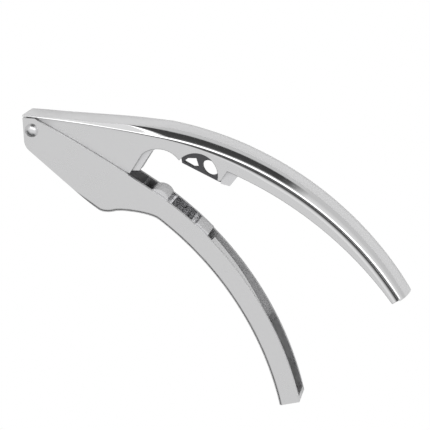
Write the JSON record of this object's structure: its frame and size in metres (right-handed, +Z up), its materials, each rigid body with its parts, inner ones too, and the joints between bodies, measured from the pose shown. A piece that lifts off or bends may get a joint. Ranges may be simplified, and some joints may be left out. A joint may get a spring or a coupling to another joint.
{
  "type": "nutcracker",
  "caption": "Hinged two-lever nutcracker with curved handles, a toothed nut pocket and a windowed upper jaw.",
  "frame": {"origin": "on the axis of the pivot rivet, in the plane of the lower lever's cheek that the part lies on", "axes": "+Z up along the rivet, +X along the lower lever from the rivet towards its handle, +Y towards the upper lever"},
  "size_m": [0.1871, 0.0923, 0.0194],
  "materials": {
    "cast_chrome": "bright plated over a zinc casting",
    "rivet_steel": "formed steel rivet",
    "jaw_metal": "bright plated, darker in the pockets"
  },
  "bodies": {
    "lower": {"lower_lever": "cast_chrome", "lower_jaw_insert": "jaw_metal", "pivot_rivet": "rivet_steel"},
    "upper": {"upper_lever": "cast_chrome", "upper_jaw_insert": "jaw_metal"}
  },
  "joints": [
    {"name": "lever_pivot", "type": "hinge", "parent": "lower", "child": "upper", "pos_m": [0, 0, 0.009], "axis": [0, 0, 1], "range_deg": [-13.2, 3]}
  ]
}
